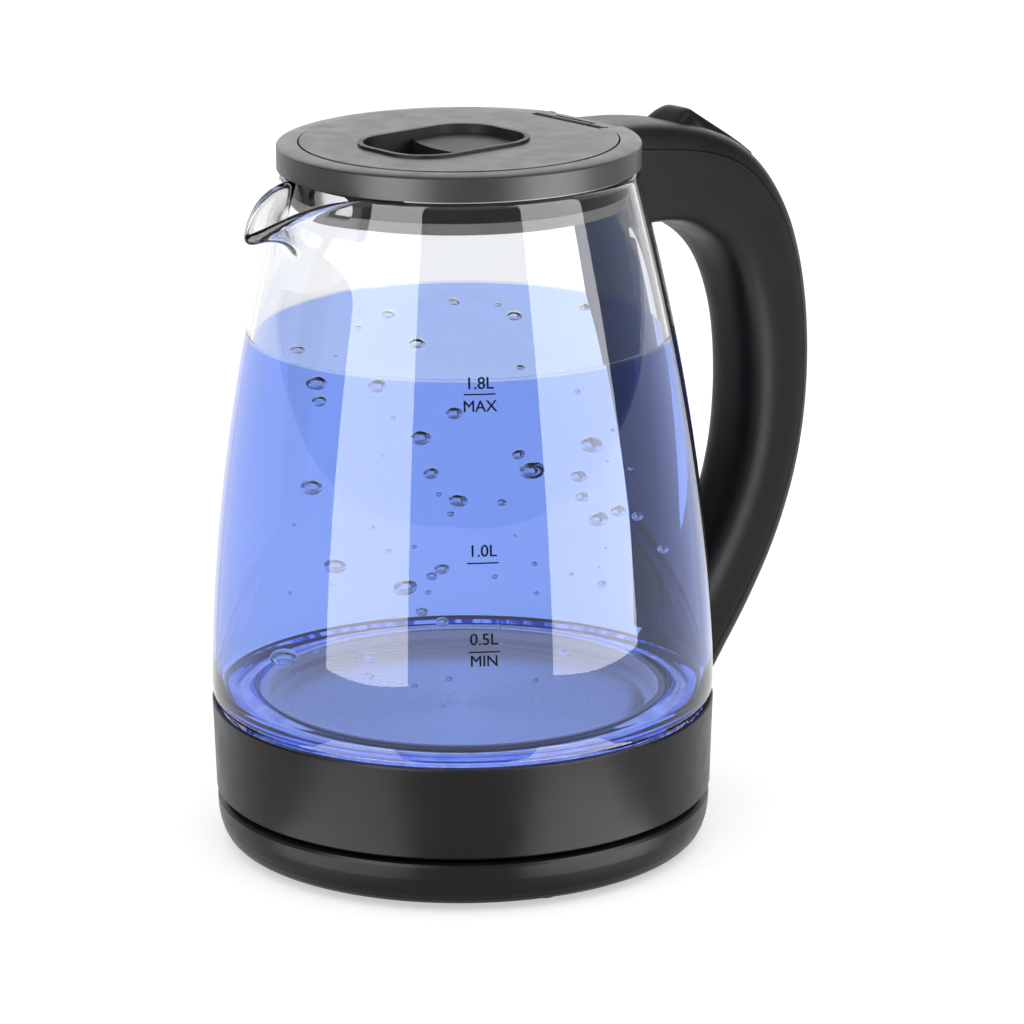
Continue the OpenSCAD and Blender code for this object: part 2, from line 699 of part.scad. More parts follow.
// ---- Ring, neck and lid ----
ring_bottom = rim_z + 0.7;
ring_top = 225.9;
lid_top_z = 226.1;
lid_gap = 0.5;
chord_gap = 0.6;
corner_r = 8;
hinge_x = lid_chord + 3.6;
barrel_r = 1.7;
hinge_z = lid_top_z - barrel_r;
hinge_pin_r = 0.85;
hinge_half = 16.4;
lid_knuckle = 9;
nose_x = 50.9;
steam_z = 220.1;
skirt_out = 52.4;
skirt_in = 50.2;
mouth_z = 207;
skirt_bottom = 210.5;
lid_wall_bottom = ring_bottom + 0.2;

module top_ring() {
  edge_z = ring_top - 1;
  color([0.08, 0.08, 0.08]) {
    difference() {
      rotate_extrude() polygon(concat(
        [[30, ring_bottom], [ring_r, ring_bottom]],
        [for (t = [0:15:90])
          [skirt_in + (ring_r - skirt_in) * cos(t), edge_z + (ring_top - edge_z) * sin(t)]],
        [[30, ring_top]]
      ));
      chord_disc(lid_r + lid_gap, lid_chord + chord_gap, corner_r + lid_gap, ring_bottom - 1, ring_top + 1);
      translate([nose_x, -hinge_half, ring_bottom - 1]) cube([20, 2 * hinge_half, 20]);
      translate([lid_chord - 2, -hinge_half, hinge_z - 2.2])
        cube([hinge_x + 2.1 - lid_chord + 2, 2 * hinge_half, 10]);
      translate([30, 0, steam_z]) rotate([0, 90, 0]) cylinder(r = 1.9, h = 40, $fn = 48);
    }
    for (side = [-1, 1]) difference() {
      translate([0, side * (hinge_half + lid_knuckle + 0.4) / 2, 0]) {
        cross_rod(barrel_r, (hinge_half - lid_knuckle - 0.4) / 2, hinge_x, hinge_z);
        translate([hinge_x, -(hinge_half - lid_knuckle - 0.4) / 2, hinge_z - 2.3])
          cube([3, hinge_half - lid_knuckle - 0.4, 2.3 + barrel_r - 0.2]);
      }
      cross_rod(hinge_pin_r + 0.02, 30, hinge_x, hinge_z);
    }
  }
}
module hinge_pin() {
  color([0.75, 0.75, 0.77]) cross_rod(hinge_pin_r, hinge_half - 0.2, hinge_x, hinge_z);
}
module rim_gasket() {
  color([0.8, 0.8, 0.78]) difference() {
    tube(neck_r - 0.3, skirt_out + 0.3, rim_z + 0.1, ring_bottom - 0.05);
    translate([-80, -30, 200]) cube([60, 60, 40]);
    translate([40, -17, 200]) cube([40, 34, 40]);
  }
}
module neck_skirt() {
  color([0.06, 0.06, 0.06]) difference() {
    tube(skirt_out, skirt_in, skirt_bottom, ring_bottom - 0.05);
    pour_window();
  }
}
// Oval opening through the neck, behind the pouring lip.
module pour_window() {
  translate([-60, -7, mouth_z + 2.2]) cube([20, 14, 7]);
  for (side = [-1, 1]) translate([-60, side * 7, mouth_z + 5.7]) rotate([0, 90, 0])
    cylinder(r = 3.5, h = 20, $fn = 48);
}
module neck_seal() {
  color([0.75, 0.75, 0.72]) difference() {
    union() {
      tube(skirt_out, skirt_in, mouth_z, skirt_bottom - 0.05);
      tube(skirt_in + eps, 44, mouth_z, mouth_z + 1.2);
    }
    pour_window();
  }
}
filter_half_angle = 17;
module filter_sector(r_out, r_in, z0, z1, half_angle) {
  rotate(180 - half_angle) rotate_extrude(angle = 2 * half_angle)
    translate([r_in, z0]) square([r_out - r_in, z1 - z0]);
}
module filter_frame() {
  color([0.07, 0.07, 0.07]) difference() {
    filter_sector(skirt_in - 0.2, skirt_in - 1.5, mouth_z + 1.4, ring_bottom - 0.3, filter_half_angle);
    filter_sector(skirt_in + 1, skirt_in - 3, mouth_z + 2.8, ring_bottom - 1.8, filter_half_angle - 3);
  }
}
module filter_mesh() {
  color([0.8, 0.8, 0.82]) filter_sector(
    skirt_in - 0.6, skirt_in - 0.9, mouth_z + 3, ring_bottom - 2, filter_half_angle - 3.3
  );
}

pocket_x = -6;
pocket_corner = 13;
pocket_floor = 212.4;
cup_r = lid_r - 3.8;
cup_chord = lid_chord - 0.6;
cup_bottom = mouth_z + 2.4;
lid_bosses = [[30, 14], [30, -14], [-38, 0]];
tray_wall = 1.6;
module lid_top() {
  plate_z = lid_top_z - 2.2;
  color([0.1, 0.1, 0.1]) difference() {
    union() {
      chord_disc(lid_r, lid_chord, corner_r, plate_z, lid_top_z);
      difference() {
        chord_disc(lid_r, lid_chord, corner_r, lid_wall_bottom, plate_z + 0.1);
        chord_disc(lid_r - 1.6, lid_chord - 1.6, corner_r - 1.6, lid_wall_bottom - 1, lid_top_z);
      }
      for (b = lid_bosses) translate([b.x, b.y, cup_bottom + 4]) cylinder(r = 2.6, h = 12);
      cross_rod(barrel_r, lid_knuckle, hinge_x, hinge_z);
      translate([lid_chord - 2, -lid_knuckle, hinge_z - barrel_r])
        cube([hinge_x - lid_chord + 2, 2 * lid_knuckle, 1.5]);
    }
    rounded_slab(pocket_l + 2 * tray_wall + 0.1, pocket_w + 2 * tray_wall + 0.1,
      pocket_corner + tray_wall + 0.05, pocket_x, pocket_floor - 3, lid_top_z + 1);
    for (b = lid_bosses) translate([b.x, b.y, cup_bottom]) cylinder(r = 1.15, h = 12, $fn = 32);
    cross_rod(hinge_pin_r + 0.07, 12, hinge_x, hinge_z);
  }
}
// Finger pocket: a tray set into the lid, with a raised edge and a shelf over its far half.
shelf_drop = 2;
module lid_tray() {
  wide = 2 * tray_wall;
  color([0.05, 0.05, 0.05]) difference() {
    rounded_slab(pocket_l + wide, pocket_w + wide, pocket_corner + tray_wall,
      pocket_x, pocket_floor - 1.4, lid_top_z + 0.8);
    difference() {
      rounded_slab(pocket_l, pocket_w, pocket_corner, pocket_x, pocket_floor, lid_top_z + 2);
      translate([pocket_x + 31, 0, pocket_floor - 1])
        cylinder(r = 34, h = lid_top_z - shelf_drop - pocket_floor + 1);
    }
  }
}
module lid_bottom() {
  color([0.07, 0.07, 0.07]) difference() {
    union() {
      chord_disc(cup_r, cup_chord, corner_r, cup_bottom, lid_wall_bottom - 0.1);
      chord_disc(lid_r - 1.8, cup_chord - 1.2, corner_r, lid_wall_bottom - 0.9, lid_wall_bottom + 1.2);
    }
    difference() {
      chord_disc(cup_r - 1.6, cup_chord - 1.6, corner_r - 1.6, cup_bottom + 1.2, lid_wall_bottom + 3);
      for (b = lid_bosses) translate([b.x, b.y, cup_bottom]) cylinder(r = 4, h = 3.8);
    }
    for (b = lid_bosses) translate([b.x, b.y, cup_bottom - 1]) {
      cylinder(r = 2.6, h = 3, $fn = 32);
      cylinder(r = 1.3, h = 12, $fn = 32);
    }
  }
}
module lid_seal() {
  color([0.8, 0.8, 0.78]) difference() {
    chord_disc(cup_r + 0.5, cup_chord, corner_r, cup_bottom - 1, cup_bottom - 0.05);
    chord_disc(cup_r - 2.6, cup_chord - 3, corner_r - 3, cup_bottom - 2, cup_bottom + 1);
  }
}
module lid_screws() {
  color([0.75, 0.75, 0.77]) for (b = lid_bosses)
    translate([b.x, b.y, cup_bottom + 0.6]) screw(1.1, 2.4, 1.3, 6);
}

base_shell();
base_bottom();
base_feet();
base_connector();
base_contacts();
base_screws();
cord_gland();
cord_clamp();
base_wires();
kettle_plug();
plug_contacts();
glass_jug();
collar();
kettle_bottom();
bottom_screws();
light_ring();
led_board();
leds();
heating_plate();
plate_seal();
heat_spreader();
heating_element();
thermostat();
bimetal_discs();
back_strip();
handle_grip();
handle_cover();
handle_screws();
handle_wires();
steam_switch();
steam_disc();
steam_tube();
switch_pins();
top_ring();
rim_gasket();
neck_skirt();
neck_seal();
filter_frame();
filter_mesh();
hinge_pin();
lid_top();
lid_tray();
lid_bottom();
lid_seal();
lid_screws();
power_switch();
trip_lever();
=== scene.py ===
import json
import math
import random

import bmesh
import bpy
import numpy as np
from mathutils import Matrix, Quaternion, Vector


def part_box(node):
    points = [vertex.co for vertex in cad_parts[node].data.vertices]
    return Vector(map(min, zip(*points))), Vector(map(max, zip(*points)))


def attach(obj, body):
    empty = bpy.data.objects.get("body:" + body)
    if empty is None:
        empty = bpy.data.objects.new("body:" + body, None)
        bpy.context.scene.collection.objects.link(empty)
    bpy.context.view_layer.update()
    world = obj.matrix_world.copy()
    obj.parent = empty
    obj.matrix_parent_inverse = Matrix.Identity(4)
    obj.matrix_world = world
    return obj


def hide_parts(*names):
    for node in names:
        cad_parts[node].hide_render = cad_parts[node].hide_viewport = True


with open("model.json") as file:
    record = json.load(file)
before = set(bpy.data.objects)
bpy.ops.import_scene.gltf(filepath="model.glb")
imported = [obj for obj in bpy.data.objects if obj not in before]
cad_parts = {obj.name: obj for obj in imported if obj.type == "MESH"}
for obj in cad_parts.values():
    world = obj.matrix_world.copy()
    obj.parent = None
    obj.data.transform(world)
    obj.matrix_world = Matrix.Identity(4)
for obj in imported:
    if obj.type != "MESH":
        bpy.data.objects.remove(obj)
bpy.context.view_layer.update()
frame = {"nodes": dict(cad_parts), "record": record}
NODES = frame["nodes"]
scene = bpy.context.scene
MM = 0.001

# ---- camera ----
CAMERA_AZIMUTH = 40.0
CAMERA_REACH = 1.419
CAMERA_HEIGHT = 0.5097
AIM_HEIGHT = 0.1149
CAMERA_ROLL = -0.4
CAMERA_LENS = 163.8
CAMERA_SHIFT = (0.0496, -0.0267)
FAR_CLIP = 30
azimuth = math.radians(CAMERA_AZIMUTH)
TO_SCENE = Vector((math.sin(azimuth), math.cos(azimuth), 0))
TO_RIGHT = Vector((TO_SCENE.y, -TO_SCENE.x, 0))

cam_data = bpy.data.cameras.new("camera")
cam_data.lens = CAMERA_LENS
cam_data.sensor_width = 36
cam_data.shift_x, cam_data.shift_y = CAMERA_SHIFT
cam_data.clip_end = FAR_CLIP
camera = bpy.data.objects.new("camera", cam_data)
scene.collection.objects.link(camera)
camera.location = -TO_SCENE * CAMERA_REACH + Vector((0, 0, CAMERA_HEIGHT))
look = Vector((0, 0, AIM_HEIGHT)) - camera.location
camera.rotation_mode = "QUATERNION"
roll = Quaternion((0, 0, 1), math.radians(CAMERA_ROLL))
camera.rotation_quaternion = look.to_track_quat("-Z", "Y") @ roll
scene.camera = camera


# ---- materials ----
class Mat:
    """A node material with short helpers."""

    def __init__(self, name):
        self.material = bpy.data.materials.new(name)
        self.material.use_nodes = True
        self.tree = self.material.node_tree
        self.shader = self.tree.nodes["Principled BSDF"]
        self.coords = self.tree.nodes.new("ShaderNodeTexCoord")

    def set(self, **sockets):
        for key, value in sockets.items():
            self.shader.inputs[key.replace("_", " ")].default_value = value
        return self

    def node(self, kind, **sockets):
        n = self.tree.nodes.new(kind)
        for key, value in sockets.items():
            n.inputs[key.replace("_", " ")].default_value = value
        return n

    def link(self, a, b):
        self.tree.links.new(a, b)

    def noise(self, scale, detail=3.0, stretch=(1, 1, 1)):
        mapping = self.node("ShaderNodeMapping", Scale=stretch)
        self.link(self.coords.outputs["Object"], mapping.inputs["Vector"])
        n = self.node("ShaderNodeTexNoise", Scale=scale, Detail=detail)
        self.link(mapping.outputs[0], n.inputs["Vector"])
        return n.outputs[0]

    def ramp(self, value, stops):
        r = self.tree.nodes.new("ShaderNodeValToRGB")
        while len(r.color_ramp.elements) < len(stops):
            r.color_ramp.elements.new(0.5)
        for e, (at, colour) in zip(r.color_ramp.elements, stops):
            e.position = at
            e.color = (*colour, 1) if len(colour) == 3 else colour
        self.link(value, r.inputs[0])
        return r.outputs[0]

    def map_range(self, value, from_low, from_high, to_low=0.0, to_high=1.0):
        n = self.node("ShaderNodeMapRange", From_Min=from_low, From_Max=from_high,
                      To_Min=to_low, To_Max=to_high)
        self.link(value, n.inputs["Value"])
        return n.outputs[0]

    def spread(self, value, low, high):
        """Maps the middle of a noise onto a range."""
        return self.map_range(value, 0.3, 0.7, low, high)

    def mix(self, factor, first, second):
        """Mixes two colours; the second may be a constant."""
        n = self.tree.nodes.new("ShaderNodeMix")
        n.data_type = "RGBA"
        self.link(factor, n.inputs["Factor"])
        self.link(first, n.inputs["A"])
        if isinstance(second, tuple):
            n.inputs["B"].default_value = second
        else:
            self.link(second, n.inputs["B"])
        return n.outputs["Result"]

    def bump(self, value, strength, distance):
        b = self.node("ShaderNodeBump", Strength=strength, Distance=distance)
        self.link(value, b.inputs["Height"])
        self.link(b.outputs[0], self.shader.inputs["Normal"])
        return self

    def colour(self, output):
        self.link(output, self.shader.inputs["Base Color"])
        return self

    def roughness(self, output):
        self.link(output, self.shader.inputs["Roughness"])
        return self

    def radius(self):
        """Distance from the jug's axis."""
        sep = self.tree.nodes.new("ShaderNodeSeparateXYZ")
        self.link(self.coords.outputs["Object"], sep.inputs[0])
        flat = self.tree.nodes.new("ShaderNodeCombineXYZ")
        self.link(sep.outputs[0], flat.inputs[0])
        self.link(sep.outputs[1], flat.inputs[1])
        length = self.tree.nodes.new("ShaderNodeVectorMath")
        length.operation = "LENGTH"
        self.link(flat.outputs[0], length.inputs[0])
        return length.outputs["Value"]


def satin_plastic(name, dark, light, rough, grain=2200, strength=0.05, specular=0.35):
    """Moulded plastic: a slight cloud in the tone, uneven sheen and a fine spark-eroded grain."""
    m = Mat(name)
    m.set(Specular_IOR_Level=specular)
    m.colour(m.ramp(m.noise(55), [(0.3, dark), (0.7, light)]))
    m.roughness(m.spread(m.noise(140, 5), rough - 0.035, rough + 0.035))
    m.bump(m.noise(grain, 2), strength, 0.0002)
    return m.material


def metal(name, dark, light, rough):
    m = Mat(name)
    m.set(Metallic=1.0)
    streaks = m.noise(400, 4)
    m.colour(m.ramp(streaks, [(0.3, dark), (0.7, light)]))
    m.roughness(m.spread(streaks, rough - 0.05, rough + 0.06))
    m.bump(streaks, 0.08, 0.0001)
    return m.material


BLACK = satin_plastic("black_plastic", (0.005, 0.005, 0.0052), (0.0068, 0.0068, 0.007),
                      0.34, specular=0.16)
HANDLE = satin_plastic("handle_plastic", (0.005, 0.005, 0.0052), (0.0068, 0.0068, 0.007),
                       0.42, specular=0.16)
LID = satin_plastic("lid_plastic", (0.012, 0.012, 0.0125), (0.016, 0.016, 0.0165),
                    0.42, 2600, 0.07, 0.5)
RING = satin_plastic("ring_plastic", (0.008, 0.008, 0.0083), (0.011, 0.011, 0.0114),
                     0.38, 2400, 0.05, 0.4)
POCKET = satin_plastic("inner_plastic", (0.006, 0.006, 0.0065), (0.01, 0.01, 0.0105), 0.5)
DARK = satin_plastic("dark_plastic", (0.012, 0.012, 0.012), (0.018, 0.018, 0.018), 0.55)
RUBBER = satin_plastic("black_rubber", (0.012, 0.012, 0.012), (0.02, 0.02, 0.02), 0.75, 900, 0.15)
CREAM = satin_plastic("cream_plastic", (0.58, 0.54, 0.42), (0.66, 0.62, 0.5), 0.45)
BOARD = satin_plastic("board", (0.008, 0.07, 0.03), (0.012, 0.1, 0.05), 0.4)
WIRE = satin_plastic("wire_cover", (0.3, 0.03, 0.02), (0.4, 0.06, 0.03), 0.35)
BRASS = metal("contact_brass", (0.62, 0.4, 0.13), (0.75, 0.52, 0.2), 0.25)
STEEL = metal("fixing_steel", (0.45, 0.45, 0.46), (0.58, 0.58, 0.6), 0.3)
ALUMINIUM = metal("spreader_aluminium", (0.6, 0.6, 0.62), (0.72, 0.72, 0.74), 0.35)
ELEMENT = metal("element_metal", (0.28, 0.27, 0.26), (0.38, 0.37, 0.35), 0.5)
BIMETAL = metal("bimetal", (0.5, 0.45, 0.36), (0.6, 0.56, 0.46), 0.3)


def silicone():
    m = Mat("grey_silicone")
    m.set(Subsurface_Weight=0.15, Subsurface_Scale=0.004)
    m.colour(m.ramp(m.noise(90), [(0.3, (0.3, 0.3, 0.285)), (0.7, (0.38, 0.38, 0.36))]))
    m.roughness(m.spread(m.noise(300), 0.42, 0.55))
    m.bump(m.noise(1200, 2), 0.05, 0.0002)
    return m.material


SILICONE = silicone()


def brushed_dish():
    """Turned steel: very fine rings about the axis, with a slow change of tone, and a faint painted glow
    that stands in for the lit ring's light falling on it.
    """
    m = Mat("dish_steel")
    m.set(Metallic=1.0, Anisotropic=0.75)
    tangent = m.tree.nodes.new("ShaderNodeTangent")
    tangent.direction_type = "RADIAL"
    tangent.axis = "Z"
    m.link(tangent.outputs[0], m.shader.inputs["Tangent"])
    spaced = m.node("ShaderNodeCombineXYZ")
    m.link(m.radius(), spaced.inputs[0])
    rings = m.node("ShaderNodeTexNoise", Scale=2600.0, Detail=3.0)
    m.link(spaced.outputs[0], rings.inputs["Vector"])
    m.colour(m.ramp(rings.outputs[0], [(0.3, (0.52, 0.53, 0.56)), (0.7, (0.7, 0.71, 0.74))]))
    m.roughness(m.spread(rings.outputs[0], 0.2, 0.34))
    m.bump(rings.outputs[0], 0.1, 0.0001)
    # Painted light: a faint emission stands in for the lit ring's light falling on the steel.
    m.set(Emission_Color=(0.9, 0.8, 0.82, 1), Emission_Strength=0.17)
    return m.material


DISH = brushed_dish()
GLASS_IOR = 1.46


def jug_glass():
    m = Mat("jug_glass")
    m.set(Transmission_Weight=1.0, IOR=GLASS_IOR, Specular_IOR_Level=0.5)
    m.colour(m.ramp(m.noise(9), [(0.3, (0.885, 0.89, 0.9)), (0.7, (0.905, 0.91, 0.92))]))
    m.roughness(m.spread(m.noise(35), 0.0, 0.012))
    m.bump(m.noise(14, 1), 0.03, 0.002)
    return m.material


WATER_TOP = 166.0


def water_material():
    """Blue water with a paler surface."""
    m = Mat("water")
    m.set(Transmission_Weight=1.0, IOR=1.02, Specular_IOR_Level=0.5)
    tint = m.ramp(m.noise(11), [(0.3, (0.22, 0.36, 0.97)), (0.7, (0.24, 0.385, 1.0))])
    height = m.tree.nodes.new("ShaderNodeSeparateXYZ")
    m.link(m.coords.outputs["Object"], height.inputs[0])
    level = m.map_range(height.outputs["Z"], (WATER_TOP - 1.0) * MM, (WATER_TOP - 0.7) * MM)
    m.colour(m.mix(level, tint, (0.8, 0.86, 1.0, 1)))
    m.roughness(m.spread(m.noise(30), 0.0, 0.01))
    m.bump(m.noise(60, 2), 0.03, 0.0006)
    return m.material


def bubble_material():
    m = Mat("bubble")
    m.set(Transmission_Weight=1.0, IOR=1.45)
    m.colour(m.ramp(m.noise(400), [(0.3, (0.86, 0.88, 1.0)), (0.7, (0.94, 0.95, 1.0))]))
    m.roughness(m.spread(m.noise(500), 0.0, 0.02))
    return m.material


LIT_INNER, LIT_OUTER = 70, 73.5


def lit_plastic():
    """Clear ring with blue light in it: pale towards the middle, deeper towards the collar."""
    m = Mat("lit_ring")
    m.set(Emission_Strength=1.4)
    cloud = m.noise(130, 3)
    m.colour(m.ramp(cloud, [(0.3, (0.3, 0.35, 0.8)), (0.7, (0.6, 0.68, 1.0))]))
    outer = m.ramp(cloud, [(0.3, (0.16, 0.2, 0.5)), (0.7, (0.42, 0.47, 0.85))])
    inner = m.ramp(cloud, [(0.3, (0.6, 0.48, 0.5)), (0.7, (1.0, 0.9, 0.85))])
    outward = m.map_range(m.radius(), LIT_INNER * MM, LIT_OUTER * MM)
    m.link(m.mix(outward, inner, outer), m.shader.inputs["Emission Color"])
    m.roughness(m.spread(m.noise(200), 0.15, 0.3))
    return m.material


def led_material():
    m = Mat("led")
    m.set(Emission_Strength=7.0)
    m.colour(m.ramp(m.noise(300), [(0.3, (0.5, 0.6, 1.0)), (0.7, (0.8, 0.86, 1.0))]))
    glow = m.ramp(m.noise(300), [(0.3, (0.45, 0.55, 1.0)), (0.7, (0.75, 0.82, 1.0))])
    m.link(glow, m.shader.inputs["Emission Color"])
    return m.material


def ink_material():
    m = Mat("mark_ink")
    m.colour(m.ramp(m.noise(900), [(0.3, (0.001, 0.001, 0.002)), (0.7, (0.003, 0.003, 0.005))]))
    m.set(Specular_IOR_Level=0.1)
    m.roughness(m.spread(m.noise(700), 0.4, 0.5))
    return m.material


def glow_material():
    """Blue light caught round the foot of the glass: bright patches with deep blue between them."""
    m = Mat("glow")
    m.set(Emission_Strength=1.0)
    patches = m.noise(420, 2, (1, 1, 0.12))
    m.colour(m.ramp(patches, [(0.44, (0.04, 0.06, 0.4)), (0.56, (0.6, 0.66, 1.0))]))
    stops = [(0.42, (0.03, 0.045, 0.36)), (0.5, (0.22, 0.28, 0.8)), (0.58, (0.85, 0.88, 1.0))]
    m.link(m.ramp(patches, stops), m.shader.inputs["Emission Color"])
    return m.material


GLASS = jug_glass()
WATER = water_material()
BUBBLE = bubble_material()
LIT = lit_plastic()
LED = led_material()
INK = ink_material()
GLOW = glow_material()

BY_SLOT = {
    "black_plastic": BLACK,
    "lid_plastic": LID,
    "dark_plastic": DARK,
    "black_rubber": RUBBER,
    "contact_brass": BRASS,
    "fixing_steel": STEEL,
    "wire_cover": WIRE,
    "jug_glass": GLASS,
    "clear_plastic": LIT,
    "board": BOARD,
    "led_body": LED,
    "plate_steel": DISH,
    "grey_silicone": SILICONE,
    "spreader_aluminium": ALUMINIUM,
    "element_metal": ELEMENT,
    "cream_plastic": CREAM,
    "bimetal": BIMETAL,
}
BY_NODE = {
    "top_ring": RING,
    "lid_tray": POCKET,
    "handle_grip": HANDLE,
    "handle_cover": HANDLE,
    "power_switch": HANDLE,
}
SMOOTH_ANGLE = math.radians(35)


def dress(obj, material):
    obj.data.materials.clear()
    obj.data.materials.append(material)
    for poly in obj.data.polygons:
        poly.material_index = 0


def shade(obj, angle=SMOOTH_ANGLE):
    obj.data.polygons.foreach_set("use_smooth", [True] * len(obj.data.polygons))
    obj.data.set_sharp_from_angle(angle=angle)


for part in frame["record"]["subparts"]:
    node = NODES[part["node"]]
    dress(node, BY_NODE.get(part["node"], BY_SLOT[part["material_slot"]]))
    shade(node)


# ---- pieces: helpers ----
def new_piece(name, verts, faces, material, body, angle=SMOOTH_ANGLE):
    mesh = bpy.data.meshes.new(name)
    mesh.from_pydata([tuple(v) for v in verts], [], faces)
    mesh.validate()
    bm = bmesh.new()
    bm.from_mesh(mesh)
    bmesh.ops.recalc_face_normals(bm, faces=bm.faces)
    bm.to_mesh(mesh)
    bm.free()
    obj = bpy.data.objects.new(name, mesh)
    scene.collection.objects.link(obj)
    dress(obj, material)
    shade(obj, angle)
    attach(obj, body)
    return obj


def round_axis(r, t, z):
    """A point at radius r and angle t round the jug's axis, from millimetres to metres."""
    return Vector((r * math.cos(t), r * math.sin(t), z)) * MM


def loops_to_mesh(loops, closed_rows=True, closed_cols=True):
    """Vertices and quads for a grid of points: loops[i] is one row."""
    rows, cols = len(loops), len(loops[0])
    verts = [p for loop in loops for p in loop]
    faces = []
    for i in range(rows if closed_rows else rows - 1):
        for j in range(cols if closed_cols else cols - 1):
            here, above = i * cols, ((i + 1) % rows) * cols
            beside = (j + 1) % cols
            faces.append((here + j, here + beside, above + beside, above + j))
    return verts, faces


# ---- glass jug ----
collar_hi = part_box("collar")[1]
ring_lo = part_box("top_ring")[0]
JUG_R = collar_hi.y / MM
COLLAR_TOP = collar_hi.z / MM
RIM_Z = ring_lo.z / MM - 0.7
JUG_TAPER, TAPER_POWER, TAPER_HEIGHT = 23.6, 1.86, 166.0
GLASS_T = 2.8
LIP_REACH, LIP_DIP, LIP_BEAD = 26.0, 11.3, 0.9
LIP_HALF, LIP_SOFT, LIP_START = 22.0, 3.5, 186.0
LIP_Z = RIM_Z - GLASS_T / 2
FLANGE_IN = 63.0
FLANGE_LOW = COLLAR_TOP - 3
FLANGE_TOP = FLANGE_LOW + 4.2


def glass_r(z):
    """Outer radius of the jug at a height, in millimetres."""
    return JUG_R - JUG_TAPER * max((z - COLLAR_TOP) / TAPER_HEIGHT, 0) ** TAPER_POWER


def cusp(a):
    """How much of the lip there is at an angle: 1 in its middle, 0 outside it."""
    edge = math.hypot(LIP_HALF, LIP_SOFT)
    return max(0.0, (edge - math.hypot(a, LIP_SOFT)) / (edge - LIP_SOFT))


def lip_rise(z):
    """0 where the lip starts to lean out, 1 at the rim."""
    return max(0.0, (z - LIP_START) / (LIP_Z - LIP_START))


def jug_point(a, z):
    out, u = cusp(a) ** 1.15, lip_rise(z)
    r = glass_r(z) + LIP_REACH * out * u**2.2
    t = math.radians(a)
    return Vector((-r * math.cos(t), r * math.sin(t), z - LIP_DIP * cusp(a) ** 2.6 * u**3))


def jug_frame(a, z):
    """Outward normal and upward direction of the jug's outside."""
    up = (jug_point(a, z + 0.2) - jug_point(a, z - 0.2)).normalized()
    along = (jug_point(a + 0.5, z) - jug_point(a - 0.5, z)).normalized()
    return up.cross(along).normalized(), up


def jug_wall(a, z):
    return GLASS_T + LIP_BEAD * cusp(a) ** 1.15 * lip_rise(z) ** 4


HEEL = [
    (FLANGE_IN + 0.6, FLANGE_LOW),
    (JUG_R - 3.6, FLANGE_LOW),
    (JUG_R - 2.8, FLANGE_LOW + 0.8),
    (JUG_R - 2.7, COLLAR_TOP - 0.4),
    (JUG_R - 1.7, COLLAR_TOP + 0.6),
    (JUG_R - 0.7, COLLAR_TOP + 1.4),
    (JUG_R - 0.15, COLLAR_TOP + 3.2),
]
FLOOR_STEPS = [
    (JUG_R - 3.7, FLANGE_TOP + 3),
    (JUG_R - 4.6, FLANGE_TOP + 1.5),
    (JUG_R - 6.2, FLANGE_TOP + 0.7),
    (JUG_R - 8.4, FLANGE_TOP + 0.5),
    (JUG_R - 9.0, FLANGE_TOP - 0.5),
    (JUG_R - 11.2, FLANGE_TOP - 0.6),
    (JUG_R - 11.8, FLANGE_TOP + 0.2),
    (JUG_R - 14.2, FLANGE_TOP + 0.2),
    (FLANGE_IN + 1.2, FLANGE_TOP - 0.2),
    (FLANGE_IN, FLANGE_TOP - 0.8),
    (FLANGE_IN, FLANGE_LOW + 0.6),
]
JUG_ROWS = [
    54, 62, 72, 82, 92, 102, 112, 122, 132, 142, 152, 161, 170, 178, 186, 189.5, 193, 196, 199,
    202, 204.6, 207, 209.2, 211.2, 213, 214.6, LIP_Z
]
LIP_ZONE, BODY_STEP = 28, 4


def jug_section(a):
    n, up = jug_frame(a, LIP_Z)
    half = jug_wall(a, LIP_Z) / 2
    top = jug_point(a, LIP_Z)
    t = math.radians(a)

    def turned(r, z):
        return Vector((-r * math.cos(t), r * math.sin(t), z))

    loop = [turned(*p) for p in HEEL]
    loop += [jug_point(a, z) for z in JUG_ROWS]
    loop += [top + half * ((math.cos(s) - 1) * n + math.sin(s) * up)
             for s in np.radians([30, 60, 90, 120, 150])]
    loop += [jug_point(a, z) - jug_wall(a, z) * jug_frame(a, z)[0] for z in reversed(JUG_ROWS)]
    loop += [turned(*p) for p in FLOOR_STEPS]
    return [p * MM for p in loop]


def jug_angles():
    """Degrees round the jug, closer together across the lip."""
    lip = list(range(-LIP_ZONE, LIP_ZONE + 1))
    return lip + list(range(LIP_ZONE + BODY_STEP, 360 - LIP_ZONE, BODY_STEP))


jug_mesh = loops_to_mesh([jug_section(a) for a in jug_angles()])
jug = new_piece("jug", *jug_mesh, GLASS, "kettle", math.radians(60))
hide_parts("glass_jug")

# ---- glow round the foot of the glass ----
GLOW_OUT, GLOW_IN = JUG_R - 2.52, JUG_R - 2.66
GLOW_LOW, GLOW_HIGH = FLANGE_LOW + 0.2, COLLAR_TOP - 1.5
ROUND = np.radians(range(0, 360, 3))
glow_rows = [(GLOW_IN, GLOW_LOW), (GLOW_OUT, GLOW_LOW), (GLOW_OUT, GLOW_HIGH), (GLOW_IN, GLOW_HIGH)]
glow_loops = [[round_axis(r, t, z) for r, z in glow_rows] for t in ROUND]
glow = new_piece("glow_band", *loops_to_mesh(glow_loops), GLOW, "kettle")


# ---- water ----
# The water reaches this far into the glass, so that its tint meets the edge of the jug.
SUNK = 1.9
FLOOR_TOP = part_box("heating_plate")[1].z / MM
DISH_FLOOR = FLOOR_TOP - 5.7
DISH_IN = 57.6


WATER_HEIGHTS = (60, 72, 84, 96, 108, 120, 132, 142, 152, 160, WATER_TOP - 0.5)
POLE = 0.01


